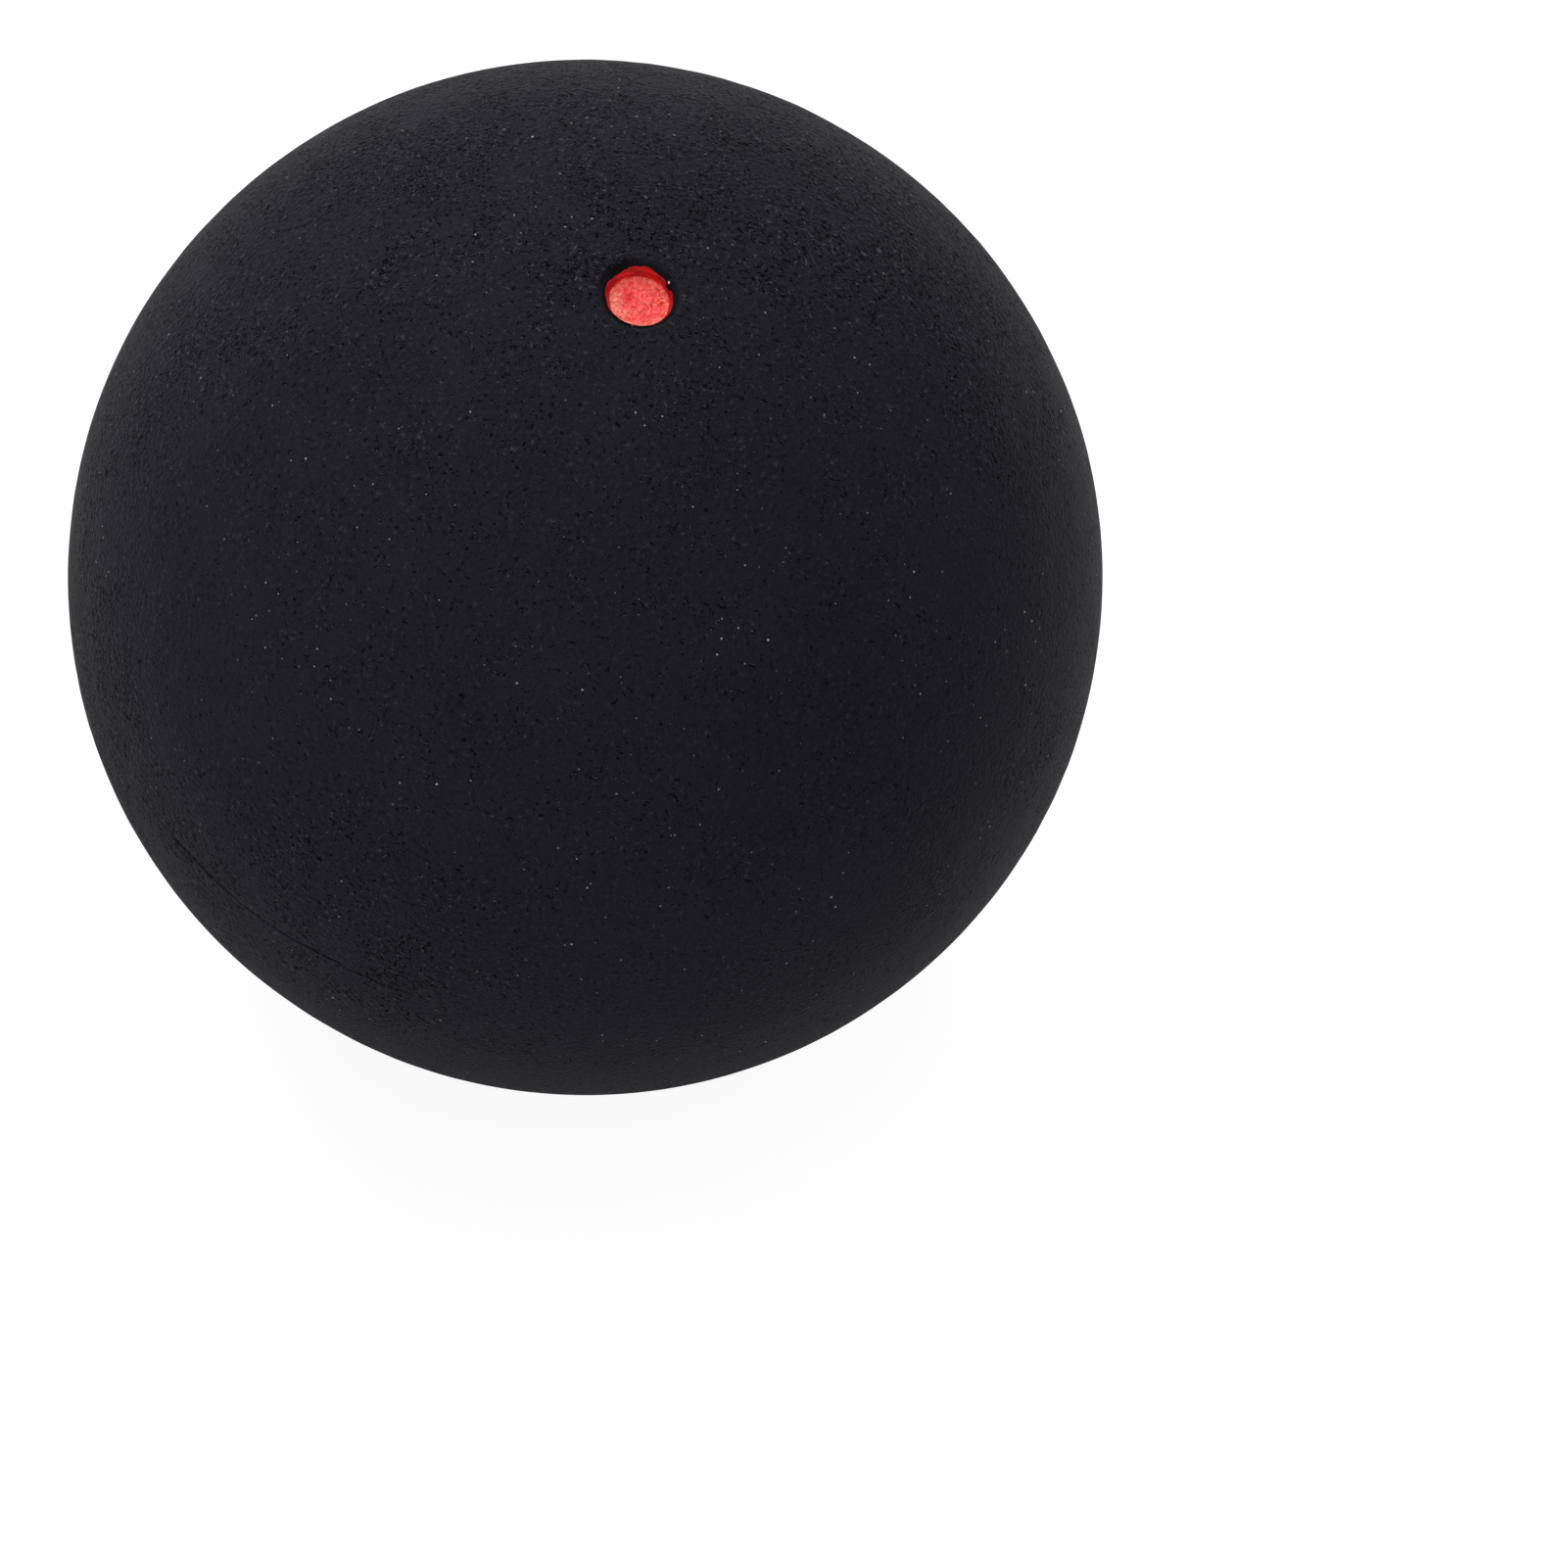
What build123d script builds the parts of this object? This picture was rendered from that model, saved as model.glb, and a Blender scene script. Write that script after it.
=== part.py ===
from build123d import *
from math import asin, atan, cos, pi, sqrt, tan
import os

# Squash ball: two moulded rubber half shells cemented rim to rim, with a painted speed dot.
# Sizes are in millimetres and degrees. The origin is the centre of the ball, +Z is the
# moulding axis, towards the dot, and +X is the side that the dot leans to.

# The hollow ball
ball_diameter = 40.0
wall_thickness = 4.5

# The butt joint of the rims: a line of cement, a fine groove outside and a bead inside
cement_thickness = 0.10
seam_groove_depth = 0.06
inner_rim_chamfer = 0.40
cement_bead_bulge = 0.25

# The moulded pit that holds the dot, measured to its mouth before the lip is rounded
pit_tilt = 3.5
pit_mouth_diameter = 2.62
pit_floor_diameter = 2.16
pit_depth = 0.68
pit_lip_radius = 0.25

# The film of paint on the pit's floor and wall
paint_thickness = 0.06
paint_meniscus_radius = 0.10
paint_below_lip = 0.03

# Sizes that follow from the ones above
ball_radius = ball_diameter / 2
cavity_radius = ball_radius - wall_thickness

rim_height = cement_thickness / 2
rim_outer_radius = ball_radius - seam_groove_depth
rim_inner_radius = cavity_radius + inner_rim_chamfer
bead_height = rim_height + inner_rim_chamfer
bead_edge_radius = sqrt(cavity_radius**2 - bead_height**2)

pit_mouth_radius = pit_mouth_diameter / 2
pit_floor_radius = pit_floor_diameter / 2
pit_mouth_height = sqrt(ball_radius**2 - pit_mouth_radius**2)
pit_floor_height = ball_radius - pit_depth
pit_wall_height = pit_mouth_height - pit_floor_height
pit_wall_slope = (pit_mouth_radius - pit_floor_radius) / pit_wall_height
pit_frame = Rot(0, pit_tilt, 0)

# Turns a sphere so that the pole and closing line of its surface lie clear of the pit
surface_turn = Rot(0, -60, 180)


def half_shell():
    """A thick hemisphere trimmed to its flat rim, with the rim's outer and inner edges broken."""
    hollow = surface_turn * (Sphere(ball_radius) - Sphere(cavity_radius))
    reach = 2 * ball_radius
    chamfer_end = (2 * bead_edge_radius - rim_inner_radius, 2 * bead_height - rim_height)
    with BuildPart() as below_rim:
        with BuildSketch(Plane.XZ):
            with BuildLine():
                Polyline(
                    (0, -reach),
                    (rim_outer_radius + reach, -reach),
                    (rim_outer_radius + reach, rim_height + reach),
                    (rim_outer_radius, rim_height),
                    (rim_inner_radius, rim_height),
                    chamfer_end,
                    (0, chamfer_end[1]),
                    close=True,
                )
            make_face()
        revolve(axis=Axis.Z)
    return hollow - below_rim.part


def dot_half_shell():
    """The half with the pit: a tapered sink square to the surface, with a rolled lip."""
    cutter_height = 2 * pit_wall_height
    cutter = Cone(
        bottom_radius=pit_floor_radius,
        top_radius=pit_floor_radius + pit_wall_slope * cutter_height,
        height=cutter_height,
        align=(Align.CENTER, Align.CENTER, Align.MIN),
    )
    shell = half_shell() - pit_frame * Pos(0, 0, pit_floor_height) * cutter
    mouth_point = (pit_frame * Pos(pit_mouth_radius, 0, pit_mouth_height)).position
    mouth_edge = shell.edges().sort_by_distance(mouth_point)[0]
    return fillet(mouth_edge, pit_lip_radius)


def plain_half_shell():
    """The other half, the same moulding turned over and without the pit."""
    return Rot(180, 0, 0) * half_shell()


def seam_cement():
    """The cured cement: a flat ring between the rims, squeezed into a bead in the cavity."""
    upper_side = [
        (bead_edge_radius, bead_height),
        (rim_inner_radius, rim_height),
        (rim_outer_radius, rim_height),
    ]
    lower_side = [(radius, -height) for radius, height in reversed(upper_side)]
    with BuildPart() as cement:
        with BuildSketch(Plane.XZ):
            with BuildLine():
                faces = Polyline(*upper_side, *lower_side)
                ThreePointArc(faces @ 1, (bead_edge_radius - cement_bead_bulge, 0), faces @ 0)
            make_face()
        revolve(axis=Axis.Z)
    return cement.part


def speed_dot():
    """The paint film: it covers the pit's floor and climbs the wall to just below the lip."""
    wall_angle = atan(pit_wall_slope)
    mouth_angle = asin(pit_mouth_radius / ball_radius)
    lip_turn = pi / 2 - wall_angle + mouth_angle
    lip_length = pit_lip_radius * tan(lip_turn / 2)
    film_height = pit_wall_height - lip_length * cos(wall_angle) - paint_below_lip
    film_edge_radius = pit_floor_radius + pit_wall_slope * film_height
    wall_film = paint_thickness / cos(wall_angle)
    inner_corner = (pit_floor_radius + pit_wall_slope * paint_thickness - wall_film, paint_thickness)
    with BuildPart() as film:
        with BuildSketch(Plane.XZ) as section:
            with BuildLine():
                Polyline(
                    (0, 0),
                    (pit_floor_radius, 0),
                    (film_edge_radius, film_height),
                    (film_edge_radius - wall_film, film_height),
                    inner_corner,
                    (0, paint_thickness),
                    close=True,
                )
            make_face()
            fillet(section.vertices().sort_by_distance(inner_corner)[0], paint_meniscus_radius)
        revolve(axis=Axis.Z)
    return pit_frame * Pos(0, 0, pit_floor_height) * film.part


pieces = {
    "dot_half_shell": dot_half_shell(),
    "plain_half_shell": plain_half_shell(),
    "seam_cement": seam_cement(),
    "speed_dot": speed_dot(),
}

os.makedirs("parts", exist_ok=True)
for name, piece in pieces.items():
    export_step(piece, f"parts/{name}.step")
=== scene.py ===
import math

import bmesh
import bpy
from mathutils import Matrix, Vector, noise


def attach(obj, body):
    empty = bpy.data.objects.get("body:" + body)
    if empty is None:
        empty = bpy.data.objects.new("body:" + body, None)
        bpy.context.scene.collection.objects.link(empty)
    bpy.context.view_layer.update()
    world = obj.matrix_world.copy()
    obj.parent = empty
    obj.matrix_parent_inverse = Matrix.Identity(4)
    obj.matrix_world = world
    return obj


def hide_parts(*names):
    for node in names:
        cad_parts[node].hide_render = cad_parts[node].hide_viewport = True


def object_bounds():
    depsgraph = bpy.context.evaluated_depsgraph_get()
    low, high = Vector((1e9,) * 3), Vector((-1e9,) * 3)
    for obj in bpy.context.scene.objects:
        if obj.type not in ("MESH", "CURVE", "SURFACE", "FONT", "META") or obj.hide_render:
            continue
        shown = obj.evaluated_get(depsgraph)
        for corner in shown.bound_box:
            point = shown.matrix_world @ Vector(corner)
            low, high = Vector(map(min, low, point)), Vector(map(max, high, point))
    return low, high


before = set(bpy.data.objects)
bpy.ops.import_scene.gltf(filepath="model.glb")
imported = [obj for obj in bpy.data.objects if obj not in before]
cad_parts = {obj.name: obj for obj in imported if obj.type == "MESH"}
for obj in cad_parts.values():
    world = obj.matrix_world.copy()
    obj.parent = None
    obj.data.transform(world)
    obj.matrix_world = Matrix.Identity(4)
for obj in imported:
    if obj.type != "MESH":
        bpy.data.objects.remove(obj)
cad_low, cad_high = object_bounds()

# Sizes are in metres. The frame's origin is the centre of the ball and +Z is its moulding axis.
MM = 0.001
BALL_RADIUS = -cad_low.z
CAVITY_RADIUS = BALL_RADIUS - 4.5 * MM

# The pit of the speed dot. In the pit's own frame its axis is +Z; it then tilts towards +X.
PIT_TILT = math.radians(3.5)
PIT_FLOOR_RADIUS = 1.08 * MM
PIT_MOUTH_RADIUS = 1.31 * MM
PIT_DEPTH = 0.68 * MM
PIT_FLOOR = BALL_RADIUS - PIT_DEPTH
LIP_RADIUS = 0.25 * MM
PAINT_FILM = 0.06 * MM
PAINT_LUMP = 0.022 * MM
FLECK_HEIGHT = PIT_FLOOR + 0.57 * MM
FLECK_RADIUS = 0.05 * MM

# Sides of the pit, in degrees round its axis from +X
OPEN_SIDE = 222.0
STEEP_SIDE = 100.0
NICK_SIDE = 126.0
FLECK_SIDE = 127.0
OVERRUN_SIDE = 178.0
SHORT_SIDE = 228.0
# Where the paint's lumps get a painted highlight
HIGHLIGHT_SIDE = 285.0
# Where the lip's painted shade reaches furthest
LIP_SHADE_RIM_SIDE = 345.0
# Where the paint's lumps get a painted highlight along the near rim
HIGHLIGHT_RIM_SIDE = 350.0

# The seam: a hairline that the buffing has smeared shut in places. It is most open on one side,
# given in degrees round the ball from +X.
SEAM_HALF_WIDTH = 0.045 * MM
SEAM_SHUT = 0.001 * MM
SEAM_DEPTH = 0.20 * MM
SEAM_BEND = 2.0 * MM
SEAM_OPEN_SIDE = -29.0
CEMENT_HALF = 0.03 * MM
INNER_RIM_CHAMFER = 0.40 * MM
BEAD_BULGE = 0.25 * MM

# The print on the plain half: two plain bars, as offset across, half height and half length
PRINT_BARS = ((0.75 * MM, 0.85 * MM, 13.0 * MM), (-1.15 * MM, 0.32 * MM, 8.5 * MM))
INK_FILM = 0.012 * MM

# Mesh fineness
SKIN_SEGMENTS = 512
SKIN_STEP = 0.245 * MM
FIRST_STEP = 0.05 * MM
STEP_GROWTH = 1.18
LIP_STEPS = 9
CAVITY_RINGS = 14
PAINT_SEGMENTS = 256
PAINT_WALL_STEPS = 14
PAINT_FLOOR_RINGS = 56
PRINT_STEPS = (180, 10)

# A skin is made past the seam before it is cut, and a cavity wall stops just short of its pole
PAST_SEAM = math.radians(0.6)
CAVITY_END = math.radians(88.0)

# Distances under which two vertices are one, and under which a vertex lies on a plane
SAME_PLACE = 1e-7
ON_PLANE = 1e-8

# The photograph's frame and where the ball lies in it, in pixels
IMAGE_SIZE = 1601
BALL_CENTRE_PIXEL = (599.6, 591.7)
BALL_OUTLINE_PIXELS = 527.3
CAMERA_AZIMUTH = math.radians(88.1)
CAMERA_ELEVATION = math.radians(55.4)
CAMERA_ROLL = math.radians(10.4)
CAMERA_DISTANCE = 10 * BALL_RADIUS
CAMERA_NEAR = 0.01
SENSOR_WIDTH = 36.0

# The stage: half the floor's width, the floor's glow, and the sky as it lights and as it shows
FLOOR_HALF_WIDTH = 3.0
FLOOR_GLOW = 0.85
SKY_LIGHT = 0.63
SKY_SEEN = 1.0


# Directions, soft steps and noise

def camera_back():
    """The direction from the ball to the camera."""
    level = math.cos(CAMERA_ELEVATION)
    east, north = math.sin(CAMERA_AZIMUTH), -math.cos(CAMERA_AZIMUTH)
    return Vector((east * level, north * level, math.sin(CAMERA_ELEVATION)))


def camera_right():
    """The direction that points right in the picture."""
    level = Vector((math.cos(CAMERA_AZIMUTH), math.sin(CAMERA_AZIMUTH), 0))
    return Matrix.Rotation(CAMERA_ROLL, 3, camera_back()) @ level


def seen_at(right, up):
    """The direction to the point that the camera sees there, in shares of the ball's outline."""
    back = camera_back()
    depth = math.sqrt(1 - right * right - up * up)
    return right * camera_right() + up * back.cross(camera_right()) + depth * back


def smooth_step(low, high, value):
    """Rises softly from 0 at low to 1 at high."""
    share = max(0.0, min(1.0, (value - low) / (high - low)))
    return share * share * (3 - 2 * share)


def near_turn(azimuth, centre, reach):
    """Rises from 0 at reach degrees either side of a direction to 1 at that direction."""
    away = (math.degrees(azimuth) - centre + 180.0) % 360.0 - 180.0
    return smooth_step(reach, 0.0, abs(away))


def in_pit(place):
    """A place in the pit's own frame, where the pit's axis is +Z."""
    return Matrix.Rotation(-PIT_TILT, 3, "Y") @ place


def skin_noise(place, size, seed=(0, 0, 0)):
    """Smooth noise over the ball, from about -1 to 1, with lumps of that size."""
    return noise.noise(place.normalized() * (BALL_RADIUS / size) + Vector(seed))


def ring_noise(azimuth, fineness, seed=(0, 0, 0)):
    """Smooth noise round an axis, from about -1 to 1, that closes on itself."""
    ring = Vector((math.cos(azimuth), math.sin(azimuth), 0))
    return noise.noise(ring * fineness + Vector(seed))


# Mesh helpers

def spun(points, segments):
    """A surface of revolution about +Z from (radius, height) points, as eighths put together."""
    shape = bmesh.new()
    row = [shape.verts.new((radius, 0.0, height)) for radius, height in points]
    for start, end in zip(row, row[1:]):
        shape.edges.new((start, end))
    turn = math.pi / 4
    bmesh.ops.spin(
        shape, geom=shape.verts[:] + shape.edges[:], cent=(0, 0, 0), axis=(0, 0, 1),
        angle=turn, steps=segments // 8,
    )
    for _ in range(3):
        copied = bmesh.ops.duplicate(shape, geom=shape.verts[:] + shape.edges[:] + shape.faces[:])
        verts = [item for item in copied["geom"] if isinstance(item, bmesh.types.BMVert)]
        bmesh.ops.rotate(shape, verts=verts, cent=(0, 0, 0), matrix=Matrix.Rotation(turn, 3, "Z"))
        turn *= 2
    bmesh.ops.remove_doubles(shape, verts=shape.verts, dist=SAME_PLACE)
    bmesh.ops.recalc_face_normals(shape, faces=shape.faces)
    return shape


def arc(centre, radius, start, end, steps):
    """Points on a circle arc, in the (radius, height) plane, from one angle to another."""
    angles = [start + (end - start) * step / steps for step in range(steps + 1)]
    return [(centre[0] + radius * math.cos(a), centre[1] + radius * math.sin(a)) for a in angles]


def tilted(shape):
    """Turns a shape made in the pit's frame to where the pit is."""
    turn = Matrix.Rotation(PIT_TILT, 3, "Y")
    bmesh.ops.rotate(shape, verts=shape.verts, cent=(0, 0, 0), matrix=turn)


def make_piece(name, shape, material, node=None):
    """Turns a bmesh into a smooth piece that rides the ball, in place of a CAD node if one is given."""
    mesh = bpy.data.meshes.new(name)
    shape.to_mesh(mesh)
    shape.free()
    mesh.polygons.foreach_set("use_smooth", [True] * len(mesh.polygons))
    mesh.materials.append(material)
    piece = bpy.data.objects.new(name, mesh)
    bpy.context.scene.collection.objects.link(piece)
    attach(piece, "root")
    if node:
        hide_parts(node)
    return piece


def store(piece, name, value_at):
    """Stores a value for each vertex of the piece, for its material to read."""
    layer = piece.data.attributes.new(name, "FLOAT", "POINT")
    layer.data.foreach_set("value", [value_at(vertex.co) for vertex in piece.data.vertices])


# The rubber's surface

# Where the buffing has wrinkled the skin most: direction, reach in degrees and strength. The patches also
# set how strong the marks' painted shade and highlights are, strongest towards the top of the picture,
# where the light grazes the ball.
WEAR_PATCHES = (
    (seen_at(0.00, 0.97), 75.0, 0.90),
    (seen_at(0.72, 0.55), 38.0, 0.65),
    (seen_at(-0.78, 0.52), 36.0, 0.60),
    (seen_at(-0.96, -0.05), 26.0, 0.50),
    (seen_at(-0.84, -0.48), 30.0, 0.75),
    (seen_at(-0.40, -0.70), 26.0, 0.55),
    (seen_at(0.45, -0.38), 10.0, 0.35),
    (seen_at(0.90, -0.35), 24.0, 0.40),
    (Vector((-0.65, 0.35, -0.67)), 40.0, 0.40),
    (Vector((0.55, 0.60, -0.58)), 30.0, 0.35),
    (Vector((-0.20, -0.75, -0.63)), 28.0, 0.30),
)
WEAR_EVERYWHERE = 0.22
PIT_AXIS = Vector((math.sin(PIT_TILT), 0, math.cos(PIT_TILT)))

# The buffing runs down to the right as seen, and its torn dashes are that much longer than wide
BUFF_ALONG = 0.84 * camera_right() - 0.54 * camera_back().cross(camera_right())
DASH_STRETCH = 2.4
LIP_EDGE = 1.42 * MM
LIP_EDGE_SOFT = 0.14 * MM
# How far out the painted shade on the lip reaches
LIP_SHADE_EDGE = 1.36 * MM


def wear_at(place):
    """How strongly the buffing has wrinkled the skin there, from 0 to 1. The lip stays smooth."""
    direction = place.normalized()
    wear = WEAR_EVERYWHERE
    for centre, reach, strength in WEAR_PATCHES:
        turn = math.degrees(direction.angle(centre))
        wear += strength * smooth_step(reach, 0.0, turn)
    wear *= 1 + 0.7 * skin_noise(place, 4.0 * MM, (3.1, 0.7, 5.2))
    wear *= 1 + 0.9 * skin_noise(place, 1.4 * MM)
    from_pit = BALL_RADIUS * direction.angle(PIT_AXIS)
    return max(0.0, min(1.0, wear)) * smooth_step(LIP_EDGE, LIP_EDGE + LIP_EDGE_SOFT, from_pit)


def lip_shade_at(place):
    """Painted shade on the pit's lip, from 0 to 1: inside the lip, and further out on one side."""
    from_pit = BALL_RADIUS * place.angle(PIT_AXIS)
    flat = in_pit(place)
    azimuth = math.atan2(flat.y, flat.x)
    one_side = near_turn(azimuth, OPEN_SIDE, 80.0)
    near_rim = near_turn(azimuth, LIP_SHADE_RIM_SIDE, 95.0)
    edge = LIP_SHADE_EDGE + 0.09 * MM * near_rim
    inside = smooth_step(edge + 0.06 * MM, edge, from_pit) * (0.5 + 0.5 * near_rim)
    return max(inside, 0.5 * one_side * smooth_step(1.66 * MM, LIP_EDGE, from_pit))


def swell_at(place):
    """How far the skin stands out from the true sphere there: moulding lumps and coarse grain."""
    soft = skin_noise(place, 5.0 * MM, (9.0, 2.0, 4.0))
    small = skin_noise(place, 1.25 * MM, (1.0, 8.0, 3.0))
    grain = skin_noise(place, 0.8 * MM)
    return (0.020 * soft + 0.008 * small + 0.014 * grain * wear_at(place)) * MM


def seam_opening(azimuth):
    """How open the seam's hairline is there, from 0 to 1."""
    wide = ring_noise(azimuth, 2.2, (0.4, 0.1, 7.3))
    broken = ring_noise(azimuth, 30.0, (5.0, 2.0, 1.0))
    near_left = smooth_step(26.0, 8.0, abs(math.degrees(azimuth) - SEAM_OPEN_SIDE))
    return smooth_step(0.0, 0.8, -0.1 + 0.35 * wide + 0.75 * near_left + 0.4 * broken)


def seam_drift(azimuth):
    """How far the buffed seam wanders off its plane there."""
    slow = ring_noise(azimuth, 5.0, (6.0, 1.0, 2.0))
    quick = ring_noise(azimuth, 22.0, (3.0, 4.0, 8.0))
    return (0.25 * slow + 0.14 * quick) * MM


# The pit and its paint, in the pit's frame

PIT_WALL_SLOPE = (PIT_MOUTH_RADIUS - PIT_FLOOR_RADIUS) / (
    math.sqrt(BALL_RADIUS**2 - PIT_MOUTH_RADIUS**2) - PIT_FLOOR
)
WALL_ANGLE = math.atan(PIT_WALL_SLOPE)


def lip_centre():
    """The centre of the lip's rounding: one lip radius inside both the wall and the sphere."""
    offset = PIT_FLOOR_RADIUS + LIP_RADIUS / math.cos(WALL_ANGLE) - PIT_WALL_SLOPE * PIT_FLOOR
    a = 1 + PIT_WALL_SLOPE**2
    b = 2 * PIT_WALL_SLOPE * offset
    c = offset**2 - (BALL_RADIUS - LIP_RADIUS) ** 2
    height = (-b + math.sqrt(b * b - 4 * a * c)) / (2 * a)
    return offset + PIT_WALL_SLOPE * height, height


LIP_CENTRE = lip_centre()
WALL_TOP = LIP_CENTRE[1] + LIP_RADIUS * math.sin(WALL_ANGLE)


def pit_radius_at(height):
    """The pit's radius at a height: the tapered wall, then the lip's rounding."""
    if height < WALL_TOP:
        return PIT_FLOOR_RADIUS + PIT_WALL_SLOPE * (height - PIT_FLOOR)
    rise = min(height - LIP_CENTRE[1], LIP_RADIUS)
    return LIP_CENTRE[0] - math.sqrt(LIP_RADIUS**2 - rise**2)


def pit_shift(azimuth, height):
    """How far the pit's ragged wall and lip stand out from the true cone there."""
    ragged = 0.022 * ring_noise(azimuth, 2.0) + 0.012 * ring_noise(azimuth, 9.0)
    opened = 0.16 * near_turn(azimuth, OPEN_SIDE, 70.0)
    steep = -0.045 * near_turn(azimuth, STEEP_SIDE, 80.0)
    nick = -0.11 * near_turn(azimuth, NICK_SIDE, 7.0)
    rise = smooth_step(PIT_FLOOR + 0.15 * MM, WALL_TOP, height)
    return (ragged + (opened + steep + nick) * rise) * MM


def paint_top(azimuth):
    """The height of the paint's ragged edge on the wall there."""
    ragged = 0.035 * ring_noise(azimuth, 4.0, (2, 2, 2)) + 0.02 * ring_noise(azimuth, 14.0)
    over_lip = 0.08 * near_turn(azimuth, OVERRUN_SIDE, 40.0)
    short = -0.09 * near_turn(azimuth, SHORT_SIDE, 55.0)
    chipped = -0.15 * near_turn(azimuth, NICK_SIDE, 15.0)
    return WALL_TOP + (ragged + over_lip + short + chipped - 0.06) * MM


def highlight_share_at(place):
    """Where the paint's lumps get a painted highlight, from 0 to 1: on one side and along the near rim.
    """
    flat = in_pit(place)
    azimuth = math.atan2(flat.y, flat.x)
    share = flat.xy.length / PIT_FLOOR_RADIUS
    side = near_turn(azimuth, HIGHLIGHT_SIDE, 62.0) * smooth_step(0.40, 0.72, share)
    rim = (0.4 + 0.6 * near_turn(azimuth, HIGHLIGHT_RIM_SIDE, 100.0)) * smooth_step(0.74, 0.92, share)
    return max(side, rim)


def paint_deep(place):
    """Where the paint has sunk thin and deep red, from 0 to 1: a patch beside the middle."""
    middle = Vector((-0.20 * MM, -0.46 * MM))
    return smooth_step(0.42 * MM, 0.10 * MM, (in_pit(place).xy - middle).length)


def paint_streak(place):
    """The layers of the paint on the wall, which run level round the pit, from about 0 to 1."""
    level = place.dot(PIT_AXIS) / (0.055 * MM)
    around = place / (0.6 * MM)
    return 0.5 + 0.9 * noise.noise(Vector((around.x, around.y, level)))


def pit_profile():
    """The pit's floor, tapered wall and rolled lip, out to where the lip meets the sphere."""
    floor = [(PIT_FLOOR_RADIUS * share, PIT_FLOOR) for share in (0.0, 0.5, 1.0)]
    heights = [PIT_FLOOR + (WALL_TOP - PIT_FLOOR) * share for share in (0.33, 0.66)]
    wall = [(pit_radius_at(height), height) for height in heights]
    sphere_contact = math.atan2(LIP_CENTRE[1], LIP_CENTRE[0])
    lip = arc(LIP_CENTRE, LIP_RADIUS, math.pi - WALL_ANGLE, sphere_contact, LIP_STEPS)
    return floor + wall + lip


def sphere_rings(start, end):
    """Polar angles from start to end, with steps that widen to the skin's full step."""
    angle = start
    step = FIRST_STEP / BALL_RADIUS
    full = SKIN_STEP / BALL_RADIUS
    rings = []
    while angle + step < end:
        angle += step
        rings.append(angle)
        step = min(step * STEP_GROWTH, full)
    return rings + [end]


# The pieces

def cut_at_seam(shape, side):
    """Cuts a skin off at the seam, with a second loop close by, and bends it to the seam's line."""
    for height, clear in ((3 * SEAM_HALF_WIDTH, False), (SEAM_HALF_WIDTH, True)):
        bmesh.ops.bisect_plane(
            shape, geom=shape.verts[:] + shape.edges[:] + shape.faces[:], dist=ON_PLANE,
            plane_co=(0, 0, side * height), plane_no=(0, 0, -side), clear_outer=clear,
        )
    for vert in shape.verts:
        if abs(vert.co.z) < SEAM_BEND:
            near = smooth_step(SEAM_BEND, 0.0, abs(vert.co.z))
            vert.co.z += near * seam_drift(math.atan2(vert.co.y, vert.co.x))


def open_edges(items):
    """The edges among them that border one face only."""
    return [item for item in items if isinstance(item, bmesh.types.BMEdge) and item.is_boundary]


def close_half(shape, side):
    """Gives a half's skin its seam flank, rim and cavity wall, from the open edge inwards."""
    edge = open_edges(shape.edges)
    for vert in {vert for item in edge for vert in item.verts}:
        azimuth = math.atan2(vert.co.y, vert.co.x)
        gap = SEAM_SHUT + (SEAM_HALF_WIDTH - SEAM_SHUT) * seam_opening(azimuth)
        vert.co.z = seam_drift(azimuth) + side * gap
    for item in edge:
        item.smooth = False
    chamfer_top = CEMENT_HALF + INNER_RIM_CHAMFER
    cavity_start = math.asin(chamfer_top / CAVITY_RADIUS)
    loops = [
        (BALL_RADIUS - SEAM_DEPTH, CEMENT_HALF),
        (CAVITY_RADIUS + INNER_RIM_CHAMFER, CEMENT_HALF),
        *arc((0, 0), CAVITY_RADIUS, cavity_start, CAVITY_END, CAVITY_RINGS),
    ]
    for radius, height in loops:
        edge = open_edges(bmesh.ops.extrude_edge_only(shape, edges=edge)["geom"])
        for vert in {vert for item in edge for vert in item.verts}:
            flat = vert.co.xy.normalized() * radius
            vert.co = (flat.x, flat.y, side * height)
    bmesh.ops.contextual_create(shape, geom=edge)
    bmesh.ops.recalc_face_normals(shape, faces=shape.faces)


def dot_half(material):
    """The half shell with the pit, spun about the pit's axis."""
    pit = pit_profile()
    start = math.atan2(*pit[-1])
    angles = sphere_rings(start, math.pi / 2 + PIT_TILT + PAST_SEAM)
    skin = [(BALL_RADIUS * math.sin(a), BALL_RADIUS * math.cos(a)) for a in angles]
    shape = spun(pit + skin, SKIN_SEGMENTS)
    shift_end = 2.3 * MM
    for vert in shape.verts:
        radius = vert.co.xy.length
        if vert.co.z > 0 and 0 < radius < shift_end:
            azimuth = math.atan2(vert.co.y, vert.co.x)
            fade = smooth_step(shift_end, LIP_EDGE, radius)
            vert.co.xy *= 1 + fade * pit_shift(azimuth, vert.co.z) / radius
    tilted(shape)
    cut_at_seam(shape, 1)
    for vert in shape.verts:
        vert.co += vert.co.normalized() * swell_at(vert.co)
    close_half(shape, 1)
    piece = make_piece("rubber_half_with_dot", shape, material, "dot_half_shell")
    store(piece, "wear", wear_at)
    store(piece, "lip_shade", lip_shade_at)


def plain_half(material):
    """The half shell that carries the print, spun about the moulding axis."""
    angles = [0.0] + sphere_rings(0.0, math.pi / 2 + PAST_SEAM)
    skin = [(BALL_RADIUS * math.sin(a), -BALL_RADIUS * math.cos(a)) for a in angles]
    shape = spun(skin, SKIN_SEGMENTS)
    cut_at_seam(shape, -1)
    for vert in shape.verts:
        vert.co += vert.co.normalized() * swell_at(vert.co)
    close_half(shape, -1)
    piece = make_piece("rubber_half_plain", shape, material, "plain_half_shell")
    store(piece, "wear", wear_at)


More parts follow.
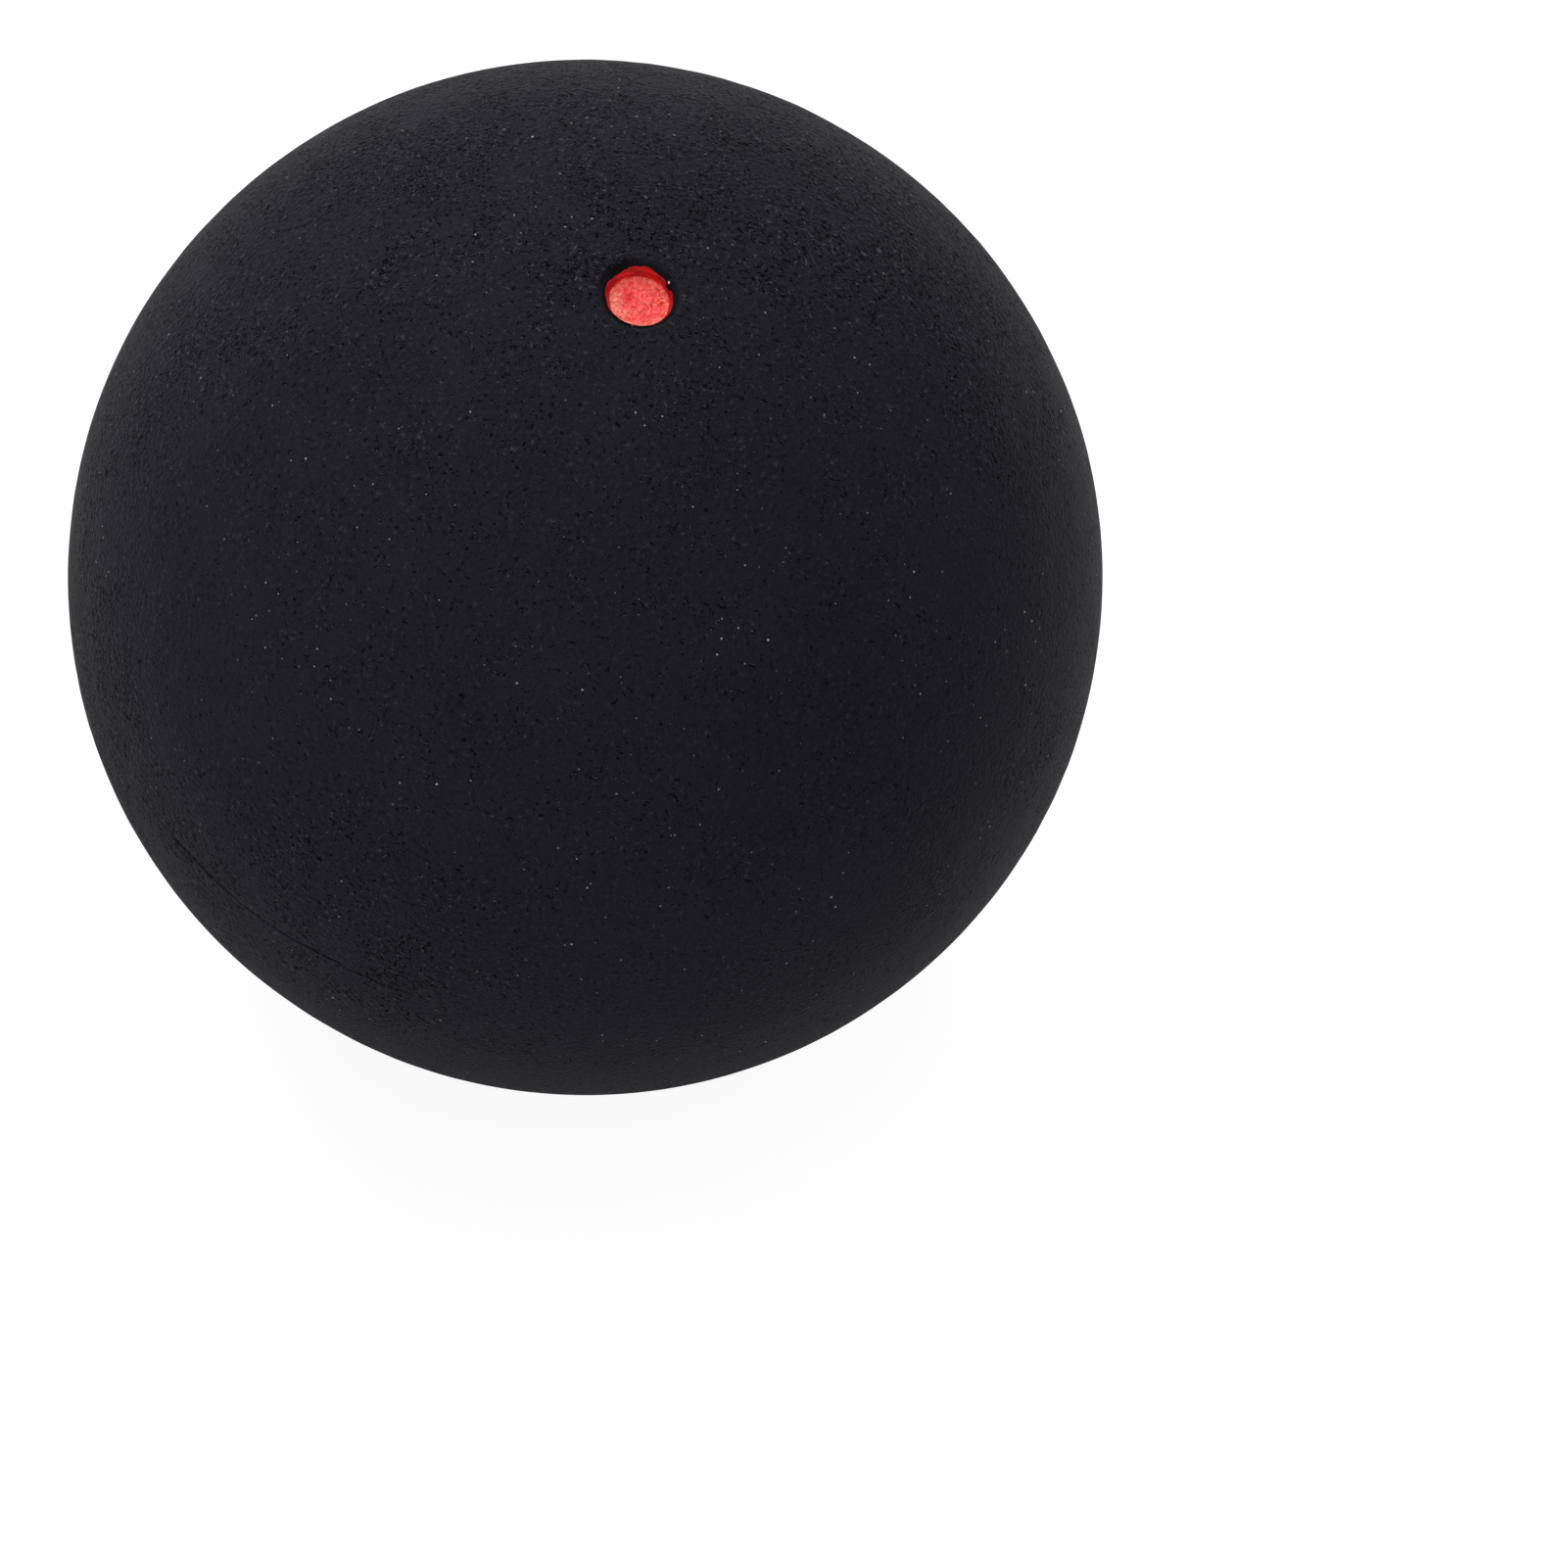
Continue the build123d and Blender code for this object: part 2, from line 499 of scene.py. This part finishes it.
def cement_ring(material):
    """The cured cement between the rims, with its bead in the cavity."""
    bead_height = CEMENT_HALF + INNER_RIM_CHAMFER
    bead_edge = math.sqrt(CAVITY_RADIUS**2 - bead_height**2)
    upper = [
        (bead_edge - BEAD_BULGE, 0.0),
        (bead_edge - 0.75 * BEAD_BULGE, 0.5 * bead_height),
        (bead_edge, bead_height),
        (CAVITY_RADIUS + INNER_RIM_CHAMFER, CEMENT_HALF),
        (BALL_RADIUS - SEAM_DEPTH, CEMENT_HALF),
    ]
    lower = [(radius, -height) for radius, height in reversed(upper)]
    shape = spun(upper + lower, SKIN_SEGMENTS // 2)
    make_piece("cement_seam", shape, material, "seam_cement")


def paint_lump(place):
    """How far the paint on the floor stands up there: small lumps on a few broad ones."""
    fine = noise.noise(place / (0.10 * MM)) + noise.noise(place / (0.19 * MM))
    return PAINT_LUMP * (fine + noise.noise(place / (0.55 * MM)))


def fleck_place():
    """The middle of a fleck of pale paint on the lip, above a chip in the film."""
    turn = math.radians(FLECK_SIDE)
    radius = pit_radius_at(FLECK_HEIGHT) + pit_shift(turn, FLECK_HEIGHT)
    return Vector((radius * math.cos(turn), radius * math.sin(turn), FLECK_HEIGHT))


def dot_paint(material):
    """The film of paint: a lumpy floor that climbs the pit's wall to a ragged edge."""
    film_top = PIT_FLOOR + PAINT_FILM
    wall_rise = WALL_TOP - film_top
    heights = [film_top + wall_rise * n / PAINT_WALL_STEPS for n in range(PAINT_WALL_STEPS + 1)]
    back = [(0.0, PIT_FLOOR), (PIT_FLOOR_RADIUS, PIT_FLOOR)] + [(pit_radius_at(h), h) for h in heights]
    front = [(pit_radius_at(h) - PAINT_FILM, h) for h in reversed(heights)]
    floor_edge = front[-1][0]
    shares = [1 - n / PAINT_FLOOR_RINGS for n in range(1, PAINT_FLOOR_RINGS + 1)]
    floor = [(floor_edge * share, film_top) for share in shares]
    shape = spun(back + front + floor, PAINT_SEGMENTS)
    for vert in shape.verts:
        radius, height = vert.co.xy.length, vert.co.z
        if height < film_top - SAME_PLACE:
            continue
        if radius < floor_edge - SAME_PLACE:
            vert.co.z += paint_lump(vert.co)
            continue
        # The wall: it climbs to the ragged edge and thins out towards it
        azimuth = math.atan2(vert.co.y, vert.co.x)
        share = (height - film_top) / wall_rise
        climbed = film_top + share * (paint_top(azimuth) - film_top)
        is_back = radius > pit_radius_at(height) - 0.5 * PAINT_FILM
        run = ring_noise(azimuth, 3.0, (0, 0, climbed / (0.07 * MM)))
        film = 0.0 if is_back else PAINT_FILM * (1.0 - 0.7 * share + 0.25 * run)
        wanted = pit_radius_at(climbed) + pit_shift(azimuth, climbed) - film
        vert.co.xy *= wanted / radius
        vert.co.z = climbed
    fleck = fleck_place()
    flattened = Matrix.Translation(fleck) @ Matrix.Diagonal((1.3, 0.9, 0.5, 1.0))
    bmesh.ops.create_icosphere(shape, subdivisions=3, radius=FLECK_RADIUS, matrix=flattened)
    tilted(shape)
    piece = make_piece("speed_dot_paint", shape, material, "speed_dot")
    store(piece, "climb", lambda place: smooth_step(0.02 * MM, 0.10 * MM, place.dot(PIT_AXIS) - film_top))
    store(piece, "pale", highlight_share_at)
    store(piece, "deep", paint_deep)
    store(piece, "fleck", lambda place: float((in_pit(place) - fleck).length < 2 * FLECK_RADIUS))
    store(piece, "streak", paint_streak)


def print_bars(material):
    """The ink on the plain half: plain bars with round ends, wrapped over the pole at -Z."""
    for number, (across, half_height, half_length) in enumerate(PRINT_BARS, start=1):
        shape = bmesh.new()
        bmesh.ops.create_grid(shape, x_segments=PRINT_STEPS[0], y_segments=PRINT_STEPS[1], size=1.0)
        for vert in shape.verts:
            along = vert.co.x * half_length
            into_end = max(0.0, abs(along) - (half_length - half_height)) / half_height
            height = across + vert.co.y * half_height * math.sqrt(max(0.0, 1 - into_end**2))
            level = math.cos(height / BALL_RADIUS)
            vert.co = (
                math.sin(along / BALL_RADIUS) * level,
                math.sin(height / BALL_RADIUS),
                -math.cos(along / BALL_RADIUS) * level,
            )
            vert.co *= BALL_RADIUS + swell_at(vert.co) + INK_FILM
        bmesh.ops.remove_doubles(shape, verts=shape.verts, dist=SAME_PLACE)
        bmesh.ops.recalc_face_normals(shape, faces=shape.faces)
        bmesh.ops.solidify(shape, geom=shape.faces[:], thickness=2 * INK_FILM)
        make_piece(f"print_bar_{number}", shape, material)


# Materials

# A colour Mix node has its sockets by number, because its other kinds of value share their names
SHARE, FIRST, SECOND = 0, 6, 7
COLOUR_MIX = {"output": 2, "data_type": "RGBA"}

# A Map Range node that eases in and out
SOFT_RANGE = {"interpolation_type": "SMOOTHSTEP"}


def add_node(tree, kind, inputs=None, output=0, **settings):
    """Adds a shader node with its settings, values and links, and gives one of its outputs."""
    made = tree.nodes.new("ShaderNode" + kind)
    for name, value in settings.items():
        setattr(made, name, value)
    for key, value in (inputs or {}).items():
        if isinstance(value, bpy.types.NodeSocket):
            tree.links.new(value, made.inputs[key])
        else:
            made.inputs[key].default_value = value
    return made.outputs[output] if made.outputs else None


def hex_colour(text):
    """A linear RGBA colour from an sRGB hex value."""
    parts = [int(text[i:i + 2], 16) / 255 for i in (1, 3, 5)]
    linear = [c / 12.92 if c <= 0.04045 else ((c + 0.055) / 1.055) ** 2.4 for c in parts]
    return (*linear, 1.0)


def per_size(size):
    """The texture scale that gives features of that size on coordinates in metres."""
    return 1 / size


def new_material(name):
    """An empty material and its node tree."""
    material = bpy.data.materials.new(name)
    material.use_nodes = True
    material.node_tree.nodes.clear()
    return material, material.node_tree


def buffed_butyl_rubber():
    """Moulded butyl rubber, buffed matt: a charcoal suede with fine torn dashes along the buffing,
    painted shade in the tears and hollows, and painted highlights on their edges and the grain's tops.
    """
    material, tree = new_material("buffed_butyl_rubber")
    place = add_node(tree, "TexCoord", output="Object")
    wear = add_node(tree, "Attribute", output="Fac", attribute_name="wear")
    # Painted shade on the pit's lip
    lip_shade = add_node(tree, "Attribute", output="Fac", attribute_name="lip_shade")
    along = add_node(tree, "Mapping", {
        "Vector": place,
        "Rotation": BUFF_ALONG.to_track_quat("Z", "Y").to_euler(),
        "Scale": (1.0, 1.0, DASH_STRETCH),
    }, vector_type="TEXTURE")
    torn = add_node(tree, "TexNoise", {
        "Vector": along, "Scale": per_size(0.13 * MM), "Detail": 1.0, "Distortion": 0.5,
    })
    broken = add_node(tree, "TexNoise", {"Vector": place, "Scale": per_size(0.20 * MM), "Detail": 1.0})
    grain = add_node(tree, "TexNoise", {
        "Vector": place, "Scale": per_size(0.19 * MM), "Detail": 2.5, "Roughness": 0.6,
    })
    bloom = add_node(tree, "TexNoise", {
        "Vector": place, "Scale": per_size(5.0 * MM), "Detail": 4.0, "Roughness": 0.6,
    })
    # Tears run where the torn noise crosses its middle value, each with a lifted edge beside it. The
    # tears get painted shade and the edges a painted highlight.
    past_tear = add_node(tree, "Math", {0: torn, 1: 0.5}, operation="SUBTRACT")
    past_edge = add_node(tree, "Math", {0: torn, 1: 0.585}, operation="SUBTRACT")
    from_tear = add_node(tree, "Math", {0: past_tear}, operation="ABSOLUTE")
    from_edge = add_node(tree, "Math", {0: past_edge}, operation="ABSOLUTE")
    tear = add_node(tree, "MapRange", {
        "Value": from_tear, "From Min": 0.070, "From Max": 0.015,
    }, **SOFT_RANGE)
    edge = add_node(tree, "MapRange", {
        "Value": from_edge, "From Min": 0.035, "From Max": 0.010,
    }, **SOFT_RANGE)
    # Little wear leaves few, fainter tears and much wear leaves many
    rarity = add_node(tree, "MapRange", {"Value": wear, "To Min": 0.14, "To Max": -0.03})
    broken_level = add_node(tree, "Math", {0: broken, 1: rarity}, operation="ADD")
    shown = add_node(tree, "MapRange", {
        "Value": broken_level, "From Min": 0.50, "From Max": 0.42,
    }, **SOFT_RANGE)
    strength = add_node(tree, "MapRange", {"Value": wear, "To Min": 0.65, "To Max": 1.0})
    dash = add_node(tree, "Math", {0: tear, 1: shown}, operation="MULTIPLY")
    dash_shade = add_node(tree, "Math", {0: dash, 1: strength}, operation="MULTIPLY")
    shown_edge = add_node(tree, "Math", {0: edge, 1: shown}, operation="MULTIPLY")
    edge_strength = add_node(tree, "Math", {0: strength, 1: 0.38}, operation="MULTIPLY")
    edge_highlight = add_node(tree, "Math", {0: shown_edge, 1: edge_strength}, operation="MULTIPLY")
    # Where the skin is worn, the grain's hollows get painted shade and its tops a painted highlight
    hollow = add_node(tree, "MapRange", {
        "Value": grain, "From Min": 0.42, "From Max": 0.30, "To Max": 0.4,
    }, **SOFT_RANGE)
    top = add_node(tree, "MapRange", {
        "Value": grain, "From Min": 0.62, "From Max": 0.72, "To Max": 0.6,
    }, **SOFT_RANGE)
    hollow_shade = add_node(tree, "Math", {0: hollow, 1: wear}, operation="MULTIPLY")
    top_highlight = add_node(tree, "Math", {0: top, 1: wear}, operation="MULTIPLY")
    # Painted shade in the tears and hollows, and a painted highlight on the lifted edges and tops
    painted_shade = add_node(tree, "Math", {0: dash_shade, 1: hollow_shade}, operation="MAXIMUM")
    painted_highlight = add_node(tree, "Math", {0: edge_highlight, 1: top_highlight}, operation="MAXIMUM")
    # Dust specks, drawn about twice their real width so that they show
    speck_cell = 0.45 * MM
    speck_radius = 0.055 * MM
    from_speck = add_node(tree, "TexVoronoi", {
        "Vector": place, "Scale": per_size(speck_cell),
    }, "Distance")
    reach = add_node(tree, "MapRange", {
        "Value": bloom, "From Min": 0.42, "From Max": 0.66,
        "To Min": 0.4 * speck_radius / speck_cell, "To Max": speck_radius / speck_cell,
    })
    speck = add_node(tree, "Math", {0: from_speck, 1: reach}, operation="LESS_THAN")
    chance = add_node(tree, "SeparateColor", {"Color": from_speck.node.outputs["Color"]})
    brightness = add_node(tree, "Math", {0: chance, 1: 3.0}, operation="POWER")
    dust = add_node(tree, "Math", {0: speck, 1: brightness}, operation="MULTIPLY")
    # Colours, from the suede up to the dust
    cloud = add_node(tree, "MapRange", {
        "Value": bloom, "From Min": 0.36, "From Max": 0.64, "To Max": 0.5,
    })
    suede = add_node(tree, "MapRange", {"Value": grain, "From Min": 0.35, "From Max": 0.65})
    colour = add_node(tree, "Mix", {
        SHARE: suede, FIRST: hex_colour("#16151a"), SECOND: hex_colour("#1e1d22"),
    }, **COLOUR_MIX)
    layers = (
        (cloud, hex_colour("#201f24")),
        # A painted highlight on the lifted edges and grain tops, then painted shade in the tears and
        # hollows
        (painted_highlight, hex_colour("#5a595f")),
        (painted_shade, hex_colour("#030304")),
        # Painted shade on the pit's lip
        (lip_shade, hex_colour("#050506")),
        (dust, hex_colour("#9a9997")),
    )
    for share, layer in layers:
        colour = add_node(tree, "Mix", {SHARE: share, FIRST: colour, SECOND: layer}, **COLOUR_MIX)
    # Relief and shine
    depth = add_node(tree, "MapRange", {"Value": wear, "To Min": 0.2, "To Max": 0.9})
    grain_height = add_node(tree, "Math", {0: grain, 1: depth}, operation="MULTIPLY")
    dash_depth = add_node(tree, "Math", {0: dash, 1: 0.5}, operation="MULTIPLY")
    relief = add_node(tree, "Math", {0: grain_height, 1: dash_depth}, operation="SUBTRACT")
    bump = add_node(tree, "Bump", {"Height": relief, "Distance": 0.22 * MM})
    dull = add_node(tree, "Math", {0: painted_shade, 1: lip_shade}, operation="MAXIMUM")
    rough = add_node(tree, "MapRange", {"Value": dull, "To Min": 0.6, "To Max": 0.9})
    shader = add_node(tree, "BsdfPrincipled", {
        "Base Color": colour, "Roughness": rough, "Specular IOR Level": 0.036,
        "Specular Tint": hex_colour("#e4e2ff"), "Normal": bump,
    })
    add_node(tree, "OutputMaterial", {"Surface": shader})
    return material


def cured_rubber_cement():
    """Rubber cement, cured in the joint: near black and a little shinier than the buffed skin."""
    material, tree = new_material("cured_rubber_cement")
    place = add_node(tree, "TexCoord", output="Object")
    ripple = add_node(tree, "TexNoise", {"Vector": place, "Scale": per_size(0.3 * MM), "Detail": 2.0})
    colour = add_node(tree, "Mix", {
        SHARE: ripple, FIRST: hex_colour("#08080a"), SECOND: hex_colour("#121214"),
    }, **COLOUR_MIX)
    bump = add_node(tree, "Bump", {"Height": ripple, "Distance": 0.02 * MM})
    shader = add_node(tree, "BsdfPrincipled", {
        "Base Color": colour, "Roughness": 0.5, "Specular IOR Level": 0.2, "Normal": bump,
    })
    add_node(tree, "OutputMaterial", {"Surface": shader})
    return material


def dabbed_red_paint():
    """Red paint dabbed into the pit: satin and coral on the floor, with painted highlights on its lumps
    and painted shade in its creases, deep red up the wall.
    """
    material, tree = new_material("dabbed_red_paint")
    place = add_node(tree, "TexCoord", output="Object")
    # The pale share is where the paint's lumps get a painted highlight
    climb, pale, deep, fleck, streak = [
        add_node(tree, "Attribute", output="Fac", attribute_name=name)
        for name in ("climb", "pale", "deep", "fleck", "streak")
    ]
    lumps = add_node(tree, "TexNoise", {
        "Vector": place, "Scale": per_size(0.15 * MM), "Detail": 2.0, "Roughness": 0.6,
    })
    folds = add_node(tree, "TexNoise", {
        "Vector": place, "Scale": per_size(0.24 * MM), "Detail": 2.0, "Roughness": 0.6,
        "Distortion": 0.8,
    })
    broad = add_node(tree, "TexNoise", {"Vector": place, "Scale": per_size(0.7 * MM), "Detail": 1.0})
    # Creases lie where the folds cross their middle value, and fade where the film is smooth
    past_crease = add_node(tree, "Math", {0: folds, 1: 0.5}, operation="SUBTRACT")
    from_crease = add_node(tree, "Math", {0: past_crease}, operation="ABSOLUTE")
    line = add_node(tree, "MapRange", {
        "Value": from_crease, "From Min": 0.07, "From Max": 0.0,
    }, **SOFT_RANGE)
    rough_film = add_node(tree, "MapRange", {
        "Value": broad, "From Min": 0.40, "From Max": 0.56, "To Min": 0.5,
    })
    crease = add_node(tree, "Math", {0: line, 1: rough_film}, operation="MULTIPLY")
    # Colours, from the floor's coral up to the fleck
    raised = add_node(tree, "MapRange", {"Value": lumps, "From Min": 0.40, "From Max": 0.60})
    lumpy = add_node(tree, "MapRange", {"Value": raised, "To Min": 0.4})
    lump_highlight = add_node(tree, "Math", {0: lumpy, 1: pale}, operation="MULTIPLY")
    sunk = add_node(tree, "Math", {0: deep, 1: 0.8}, operation="MULTIPLY")
    # Painted shade in the creases
    crease_shade = add_node(tree, "Math", {0: crease, 1: 0.95}, operation="MULTIPLY")
    wall = add_node(tree, "Mix", {
        SHARE: streak, FIRST: hex_colour("#740000"), SECOND: hex_colour("#de0c06"),
    }, **COLOUR_MIX)
    # The coral floor, with a painted highlight on the raised lumps
    colour = add_node(tree, "Mix", {
        SHARE: raised, FIRST: hex_colour("#f23f3c"), SECOND: hex_colour("#ff6f6a"),
    }, **COLOUR_MIX)
    layers = (
        (sunk, hex_colour("#e4201c")),
        # A stronger painted highlight on the lumps
        (lump_highlight, hex_colour("#ffa88f")),
        # Painted shade in the creases
        (crease_shade, hex_colour("#bd140e")),
        (climb, wall),
        (fleck, hex_colour("#d8908c")),
    )
    for share, layer in layers:
        colour = add_node(tree, "Mix", {SHARE: share, FIRST: colour, SECOND: layer}, **COLOUR_MIX)
    lump_height = add_node(tree, "Math", {0: lumps, 1: 0.5}, operation="MULTIPLY")
    crease_depth = add_node(tree, "Math", {0: crease, 1: 0.1}, operation="MULTIPLY")
    relief = add_node(tree, "Math", {0: lump_height, 1: crease_depth}, operation="SUBTRACT")
    bump = add_node(tree, "Bump", {"Height": relief, "Distance": 0.05 * MM})
    shader = add_node(tree, "BsdfPrincipled", {
        "Base Color": colour, "Roughness": 0.45, "Specular IOR Level": 0.18, "Normal": bump,
    })
    add_node(tree, "OutputMaterial", {"Surface": shader})
    return material


def pad_printed_ink():
    """Pale ink printed on rough rubber: matt, worn thin, with pinholes where the rubber shows."""
    material, tree = new_material("pad_printed_ink")
    place = add_node(tree, "TexCoord", output="Object")
    pores = add_node(tree, "TexNoise", {
        "Vector": place, "Scale": per_size(0.22 * MM), "Detail": 3.0, "Roughness": 0.6,
    })
    thin = add_node(tree, "TexNoise", {"Vector": place, "Scale": per_size(2.5 * MM), "Detail": 2.0})
    hole = add_node(tree, "MapRange", {"Value": pores, "From Min": 0.62, "From Max": 0.68})
    ink = add_node(tree, "Mix", {
        SHARE: thin, FIRST: hex_colour("#949aa5"), SECOND: hex_colour("#aaafb8"),
    }, **COLOUR_MIX)
    colour = add_node(tree, "Mix", {
        SHARE: hole, FIRST: ink, SECOND: hex_colour("#222226"),
    }, **COLOUR_MIX)
    bump = add_node(tree, "Bump", {"Height": pores, "Distance": 0.015 * MM, "Strength": 0.6})
    shader = add_node(tree, "BsdfPrincipled", {
        "Base Color": colour, "Roughness": 0.7, "Specular IOR Level": 0.2, "Normal": bump,
    })
    add_node(tree, "OutputMaterial", {"Surface": shader})
    return material


def backdrop_share(tree, mirror_share):
    """1 on the camera's rays, a set share on mirrored rays, and 0 on rays that only light."""
    straight, glossy, through = [
        add_node(tree, "LightPath", output=f"Is {ray} Ray")
        for ray in ("Camera", "Glossy", "Transmission")
    ]
    mirrored = add_node(tree, "Math", {0: glossy, 1: through}, operation="MAXIMUM")
    kept = add_node(tree, "Math", {0: mirrored, 1: mirror_share}, operation="MULTIPLY")
    return add_node(tree, "Math", {0: straight, 1: kept}, operation="MAXIMUM")


def white_sweep():
    """Seamless studio floor: it keeps a soft shadow and shows white where it is fully lit."""
    material, tree = new_material("white_sweep")
    matt = add_node(tree, "BsdfDiffuse", {"Color": hex_colour("#8e8e8e")})
    # A mirrored floor is dark close to the ball, where the ball keeps the light off it
    open_share = add_node(tree, "AmbientOcclusion", {"Distance": BALL_RADIUS}, "AO")
    open_floor = add_node(tree, "Math", {0: open_share, 1: 2.0}, operation="POWER")
    seen = backdrop_share(tree, open_floor)
    shine = add_node(tree, "Math", {0: seen, 1: FLOOR_GLOW}, operation="MULTIPLY")
    glow = add_node(tree, "Emission", {"Color": hex_colour("#ffffff"), "Strength": shine})
    both = add_node(tree, "AddShader", {0: matt, 1: glow})
    add_node(tree, "OutputMaterial", {"Surface": both})
    return material


# Stage, light and camera

# Soft boxes: name, direction from the ball, distance, size and watts
SOFT_BOXES = (
    ("key_box", seen_at(-0.22, 0.955), 0.65, 0.45, 2.7),
    ("front_fill", camera_back(), 0.8, 1.2, 1.2),
    ("low_fill", seen_at(-0.80, -0.35), 1.2, 0.3, 3.6),
)


def white_floor(height):
    """A wide floor that the ball stands on."""
    shape = bmesh.new()
    bmesh.ops.create_grid(shape, x_segments=1, y_segments=1, size=FLOOR_HALF_WIDTH)
    bmesh.ops.translate(shape, verts=shape.verts, vec=(0, 0, height))
    mesh = bpy.data.meshes.new("floor")
    shape.to_mesh(mesh)
    shape.free()
    mesh.materials.append(white_sweep())
    floor = bpy.data.objects.new("floor", mesh)
    bpy.context.scene.collection.objects.link(floor)


def soft_box(name, direction, distance, size, watts):
    """A square soft box that faces the ball from that direction."""
    lamp = bpy.data.lights.new(name, "AREA")
    lamp.size = size
    lamp.energy = watts
    box = bpy.data.objects.new(name, lamp)
    box.location = direction * distance
    box.rotation_euler = (-direction).to_track_quat("-Z", "Y").to_euler()
    bpy.context.scene.collection.objects.link(box)


def studio():
    """Even white light all round, a large soft box over the top of the picture, and two fills."""
    world = bpy.data.worlds.new("studio")
    world.use_nodes = True
    tree = world.node_tree
    tree.nodes.clear()
    seen = backdrop_share(tree, 1.0)
    strength = add_node(tree, "MapRange", {"Value": seen, "To Min": SKY_LIGHT, "To Max": SKY_SEEN})
    sky = add_node(tree, "Background", {"Color": hex_colour("#ffffff"), "Strength": strength})
    add_node(tree, "OutputWorld", {"Surface": sky})
    bpy.context.scene.world = world
    for box in SOFT_BOXES:
        soft_box(*box)


def photograph_camera():
    """A long lens whose picture holds the ball where the photograph has it."""
    camera = bpy.data.cameras.new("camera")
    camera.sensor_width = SENSOR_WIDTH
    camera.clip_start = CAMERA_NEAR
    outline = BALL_RADIUS / math.sqrt(CAMERA_DISTANCE**2 - BALL_RADIUS**2)
    camera.lens = SENSOR_WIDTH * BALL_OUTLINE_PIXELS / IMAGE_SIZE / outline
    pixel = SENSOR_WIDTH / IMAGE_SIZE / camera.lens
    right = (BALL_CENTRE_PIXEL[0] - IMAGE_SIZE / 2) * pixel
    up = (IMAGE_SIZE / 2 - BALL_CENTRE_PIXEL[1]) * pixel
    above = camera_back().cross(camera_right())
    facing = Matrix((camera_right(), above, camera_back())).transposed().to_quaternion()
    pan = Vector((right, up, -1)).rotation_difference(Vector((0, 0, -1)))
    holder = bpy.data.objects.new("camera", camera)
    holder.location = camera_back() * CAMERA_DISTANCE
    holder.rotation_mode = "QUATERNION"
    holder.rotation_quaternion = facing @ pan
    bpy.context.scene.collection.objects.link(holder)
    bpy.context.scene.camera = holder


rubber = buffed_butyl_rubber()
dot_half(rubber)
plain_half(rubber)
cement_ring(cured_rubber_cement())
dot_paint(dabbed_red_paint())
print_bars(pad_printed_ink())

visual_low, visual_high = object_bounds()
white_floor(visual_low.z)
studio()
photograph_camera()
bpy.context.scene.view_settings.view_transform = "Standard"
